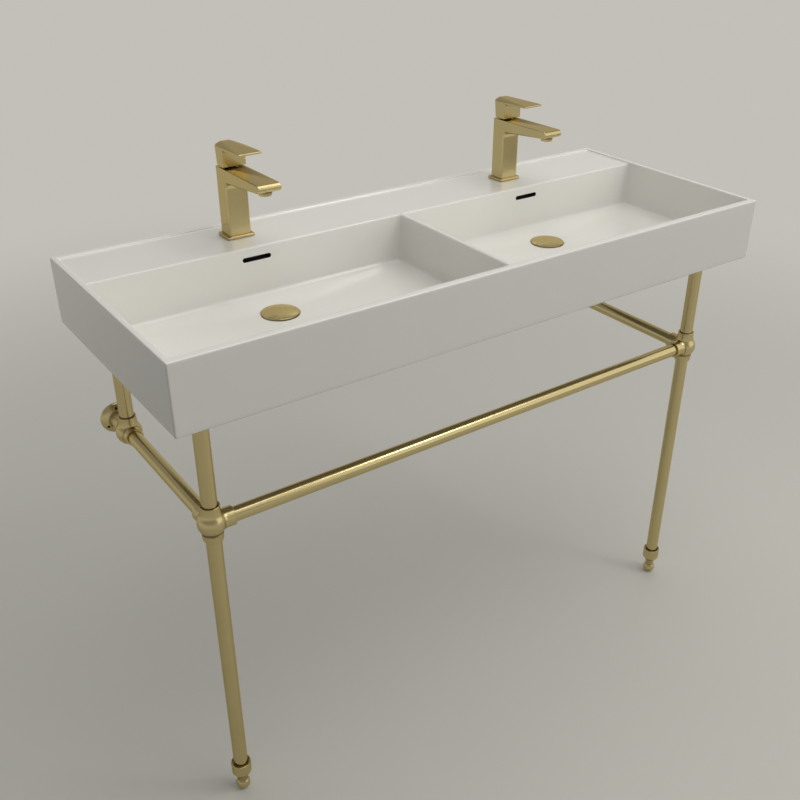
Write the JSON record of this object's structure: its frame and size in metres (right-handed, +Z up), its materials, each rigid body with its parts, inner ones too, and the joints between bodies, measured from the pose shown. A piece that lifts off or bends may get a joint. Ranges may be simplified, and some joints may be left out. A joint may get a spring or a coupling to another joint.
{
  "type": "console washbasin",
  "caption": "Rectangular white ceramic console washbasin with side-by-side bowls, lever taps, push drains and a satin brass tube stand with ball fittings and levelling feet.",
  "frame": {"origin": "middle of the footprint on the floor, under the middle of the basin", "axes": "+Z up, +Y towards the wall behind, -Y towards the user, +X to the user's right"},
  "size_m": [1.213, 0.466, 1.0819],
  "materials": {
    "ceramic": "gloss",
    "brass": "satin",
    "steel": "satin",
    "rubber": "matte",
    "plastic": "matte"
  },
  "bodies": {
    "console": {"aerator_inserts": "plastic", "basin": "ceramic", "cartridge_nuts": "brass", "drain_nuts": "brass", "drain_seals": "rubber", "drain_washers": "rubber", "ferrule_set_screws": "steel", "front_rail": "brass", "left_aerator": "brass", "left_cartridge": "plastic", "left_drain_barrel": "plastic", "left_drain_body": "brass", "left_foot_cup": "brass", "left_front_ball": "brass", "left_front_leg_lower": "brass", "left_front_leg_upper": "brass", "left_leg_ferrule": "brass", "left_rear_ball": "brass", "left_rear_post": "brass", "left_side_rail": "brass", "left_tap_base_plate": "brass", "left_tap_body": "brass", "left_wall_flange": "brass", "leg_top_pads": "rubber", "right_aerator": "brass", "right_cartridge": "plastic", "right_drain_barrel": "plastic", "right_drain_body": "brass", "right_foot_cup": "brass", "right_front_ball": "brass", "right_front_leg_lower": "brass", "right_front_leg_upper": "brass", "right_leg_ferrule": "brass", "right_rear_ball": "brass", "right_rear_post": "brass", "right_side_rail": "brass", "right_tap_base_plate": "brass", "right_tap_body": "brass", "right_wall_flange": "brass", "tap_base_gaskets": "rubber", "tap_clamp_washers": "steel", "tap_stud_nuts": "steel", "tap_studs": "steel", "wall_stubs": "brass"},
    "left_mixer_head": {"left_turret": "plastic", "left_lever_pin": "steel"},
    "left_lever": {"left_tap_handle": "brass", "left_handle_stem": "steel", "left_handle_screw": "steel"},
    "left_plug": {"left_drain_cap": "brass", "left_drain_stem": "brass"},
    "left_leveller": {"left_foot_ball": "brass"},
    "right_mixer_head": {"right_turret": "plastic", "right_lever_pin": "steel"},
    "right_lever": {"right_tap_handle": "brass", "right_handle_stem": "steel", "right_handle_screw": "steel"},
    "right_plug": {"right_drain_cap": "brass", "right_drain_stem": "brass"},
    "right_leveller": {"right_foot_ball": "brass"}
  },
  "joints": [
    {"name": "left_tap_swivel", "type": "hinge", "parent": "console", "child": "left_mixer_head", "pos_m": [-0.30325, 0.165, 1.042], "axis": [0, 0, 1], "range_deg": [-45, 45]},
    {"name": "left_lever_lift", "type": "hinge", "parent": "left_mixer_head", "child": "left_lever", "pos_m": [-0.30325, 0.171, 1.0507], "axis": [-1, 0, 0], "range_deg": [0, 20]},
    {"name": "left_drain_push", "type": "slide", "parent": "console", "child": "left_plug", "axis": [0, 0, 1], "range_m": [0, 0.008]},
    {"name": "left_foot_level", "type": "slide", "parent": "console", "child": "left_leveller", "axis": [0, 0, -1], "range_m": [0, 0.01]},
    {"name": "right_tap_swivel", "type": "hinge", "parent": "console", "child": "right_mixer_head", "pos_m": [0.30325, 0.165, 1.042], "axis": [0, 0, 1], "range_deg": [-45, 45]},
    {"name": "right_lever_lift", "type": "hinge", "parent": "right_mixer_head", "child": "right_lever", "pos_m": [0.30325, 0.171, 1.0507], "axis": [-1, 0, 0], "range_deg": [0, 20]},
    {"name": "right_drain_push", "type": "slide", "parent": "console", "child": "right_plug", "axis": [0, 0, 1], "range_m": [0, 0.008]},
    {"name": "right_foot_level", "type": "slide", "parent": "console", "child": "right_leveller", "axis": [0, 0, -1], "range_m": [0, 0.01]}
  ]
}
